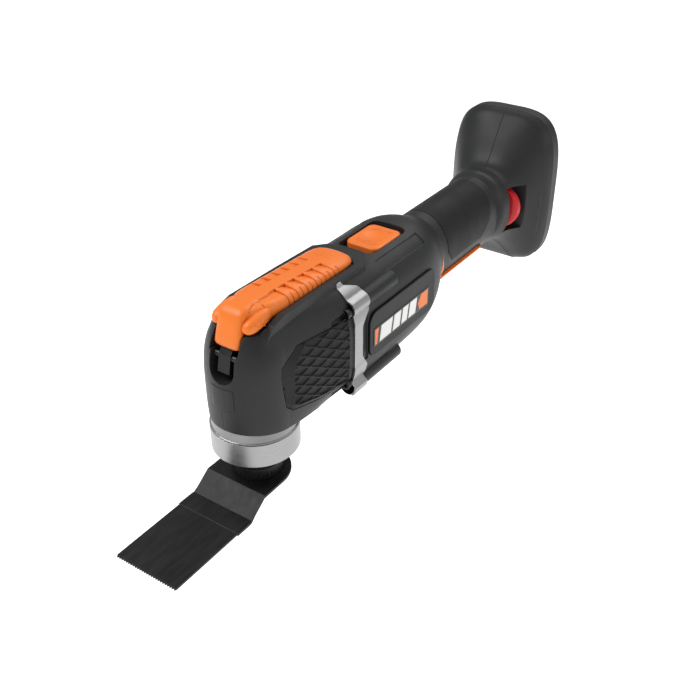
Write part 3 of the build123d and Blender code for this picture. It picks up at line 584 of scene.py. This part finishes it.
def build_band(side, mat):
    """Bright band over the housing joint, following the flank and the screw bosses."""
    tree = surface_of("body_housing_right")
    grid, inner = [], []
    angles = [-50 + 1.4 * i for i in range(81)]
    for angle in angles:
        out = Vector((cos(radians(angle)), 0, sin(radians(angle))))
        start = Vector((0, BAND_Y, AXIS_Z)) + out * 60
        reach = (tree.ray_cast(start * MM, -out)[0] / MM - Vector((0, BAND_Y, AXIS_Z))).length
        rear = along(BAND_REAR, angle)
        top, under = [], []
        for j in range(7):
            y = 44.05 + (rear - 44.05) * j / 6
            for row, lift in ((top, 0.75), (under, -0.5)):
                p = Vector((0, y, AXIS_Z)) + out * (reach + lift)
                row.append(Vector((side * p.x, p.y, p.z)))
        grid.append(top)
        inner.append(under)
    tag = "right" if side > 0 else "left"
    band = slab(f"band_{tag}", grid, inner, mat, "housing")
    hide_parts(f"trim_band_{tag}")


def build_horn(side, mat):
    """Pointed front end of the underside trim, on the flank of the motor housing."""
    tree = surface_of("body_housing_left")
    front = [(37.0, 141.2), (44.0, 140.4), (50.0, 139.7), (56.5, 138.7)]
    rear = [(37.0, 143.6), (46.0, 143.6), (50.0, 142.3), (54.0, 140.4), (56.5, 139.0)]
    grid, inner = [], []
    for i in range(25):
        z = 37.0 + 19.5 * i / 24
        top, under = [], []
        for j in range(5):
            y = along(front, z) + (along(rear, z) - along(front, z)) * j / 4
            hit = tree.ray_cast(Vector((-0.06, y * MM, z * MM)), Vector((1, 0, 0)))[0]
            top.append(Vector((side * (0.3 - hit.x / MM), y, z)))
            under.append(Vector((side * (-0.6 - hit.x / MM), y, z)))
        grid.append(top)
        inner.append(under)
    slab("trim_horn_right" if side > 0 else "trim_horn_left", grid, inner, mat, "housing")


def build_trim_ledge(side, mat):
    """Raised upper edge of the underside trim, seen as a line along the handle."""
    tree = surface_of("handle_underside_trim")
    grid, inner = [], []
    for i in range(45):
        y = 144.2 + 46.0 * i / 44
        taper = min(1.0, (190.4 - y) / 3.0)
        top, under = [], []
        for z, lift in ((42.9, 0.5), (42.7, 1.3), (42.0, 1.4), (40.4, 1.1), (38.4, 0.4)):
            z = 43.0 + (z - 43.0) * max(taper, 0.2)
            hit = tree.ray_cast(Vector((0.06, 0.16, z * MM)), Vector((-1, 0, 0)))[0]
            top.append(Vector((side * (hit.x / MM + lift * max(taper, 0.1)), y, z)))
            under.append(Vector((side * (hit.x / MM - 0.4), y, z)))
        grid.append(top)
        inner.append(under)
    slab("trim_ledge_right" if side > 0 else "trim_ledge_left", grid, inner, mat, "housing")


def build_foot_slot_shade(side, mat):
    """Narrow slot near the rear rim of the battery foot, drawn as a thin dark ink strip on the surface: painted shade
    standing for the slot's depth.
    """
    tree = surface_of("body_housing_right")
    grid, inner = [], []
    for i in range(25):
        z = 34.0 + 28.0 * i / 24
        top, under = [], []
        for j in range(4):
            y = 237.5 + 0.3 * j
            hit = tree.ray_cast(Vector((0.06, y * MM, z * MM)), Vector((-1, 0, 0)))[0]
            # painted shade: a dark sheet laid just proud of the housing where the slot's gap would be
            top.append(Vector((side * (hit.x / MM + 0.06), y, z)))
            under.append(Vector((side * (hit.x / MM - 0.4), y, z)))
        grid.append(top)
        inner.append(under)
    slab("foot_slot_shade_right" if side > 0 else "foot_slot_shade_left", grid, inner, mat, "housing")


DIAL_CENTRE = (10.8, 54.5)
DIAL_SIDE = [(0.0, 12.2), (0.25, 12.6), (0.7, 12.95), (1.2, 13.0), (4.0, 13.0), (4.5, 12.95), (4.95, 12.6),
             (5.2, 12.2)]
DIAL_START = 219.6


def build_dial(mat):
    """Speed wheel: smooth rim with rounded edges and fine grip lines."""
    bm = bmesh.new()
    profile = [(0.0, 2.06)] + DIAL_SIDE + [(5.2, 2.06)]
    steps = 288
    rings = []
    for along_y, radius in profile:
        ring = []
        for k in range(steps):
            angle = 2 * pi * k / steps
            r = radius - (0.14 if k % 6 < 2 and 1.0 < along_y < 4.2 else 0.0)
            ring.append(bm.verts.new(Vector((DIAL_CENTRE[0] + r * cos(angle), DIAL_START + along_y,
                                             DIAL_CENTRE[1] + r * sin(angle))) * MM))
        rings.append(ring)
    for low, high in zip(rings, rings[1:] + rings[:1]):
        for k in range(steps):
            bm.faces.new((low[k], low[(k + 1) % steps], high[(k + 1) % steps], high[k]))
    wheel = rounded(new_piece("speed_wheel", bm, mat, "speed_dial", True), 35)
    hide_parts("speed_dial")


def build_spring(mat):
    """Clamp spring coil: stands on the spindle's shoulder."""
    low, high = (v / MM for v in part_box("clamp_spring"))
    wire, turns, steps, around = 0.6, 7.5, 40, 12
    middle = high.x - wire
    start, rise = low.z + wire, high.z - low.z - 2 * wire
    count = int(turns * steps)
    bm = bmesh.new()
    rings = []
    for i in range(count + 1):
        angle = 2 * pi * turns * i / count
        z = start + rise * i / count
        ring = []
        for k in range(around):
            out = middle + wire * cos(2 * pi * k / around)
            ring.append(bm.verts.new(Vector((out * cos(angle), out * sin(angle),
                                             z + wire * sin(2 * pi * k / around))) * MM))
        rings.append(ring)
    for below, above in zip(rings, rings[1:]):
        for k in range(around):
            bm.faces.new((below[k], below[(k + 1) % around], above[(k + 1) % around], above[k]))
    bm.faces.new(rings[0])
    bm.faces.new(rings[-1])
    coil = rounded(new_piece("clamp_spring_coil", bm, mat, "spindle", True), 50)
    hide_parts("clamp_spring")
    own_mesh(coil)


# ---- main ------------------------------------------------------------------------------------
add_camera()
add_studio()
MATERIALS = make_materials()
paint_nodes(MATERIALS)
WHITE = moulded("white_print", (0.78, 0.78, 0.77), (0.86, 0.86, 0.85), (0.3, 0.4), 1500.0, 0.03)
ORANGE_INK = moulded("orange_print", (0.84, 0.17, 0.02), (0.9, 0.2, 0.03), (0.3, 0.4), 1500.0, 0.03)
build_lever(MATERIALS["orange_plastic"])
build_dial(MATERIALS["red_plastic"])
build_spring(MATERIALS["bright_steel"])
for SIDE in (1, -1):
    build_pad(SIDE, MATERIALS["grip_rubber"])
    build_badge(SIDE, ORANGE_INK, WHITE)
    build_band(SIDE, MATERIALS["bright_aluminium"])
    build_horn(SIDE, MATERIALS["orange_plastic"])
    build_trim_ledge(SIDE, MATERIALS["orange_plastic"])
    # dark ink strip on the foot: painted shade for the slot
    build_foot_slot_shade(SIDE, MATERIALS["badge_print"])
